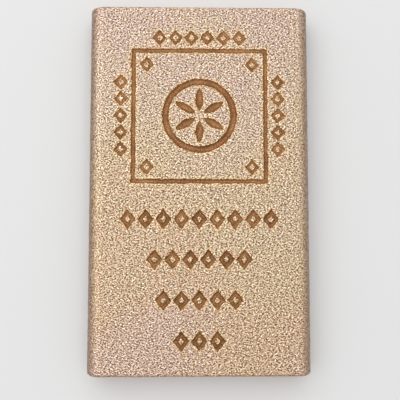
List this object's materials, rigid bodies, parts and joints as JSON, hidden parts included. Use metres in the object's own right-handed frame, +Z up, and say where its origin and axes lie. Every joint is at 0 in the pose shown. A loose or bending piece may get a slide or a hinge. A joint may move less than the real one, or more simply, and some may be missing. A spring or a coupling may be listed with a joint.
{
  "type": "copper ingot",
  "caption": "Flat copper ingot with rolled long edges, eased sawn ends and a shallow engraved face, kept as weighed metal stock.",
  "frame": {"origin": "middle of the underside, on the surface that the ingot lies on", "axes": "+X across the bar, +Y along the bar to its head end, +Z up from the underside to the marked face"},
  "size_m": [0.0446, 0.074, 0.0079],
  "materials": {
    "copper": "satin"
  },
  "bodies": {
    "root": {"ingot": "copper"}
  },
  "joints": []
}
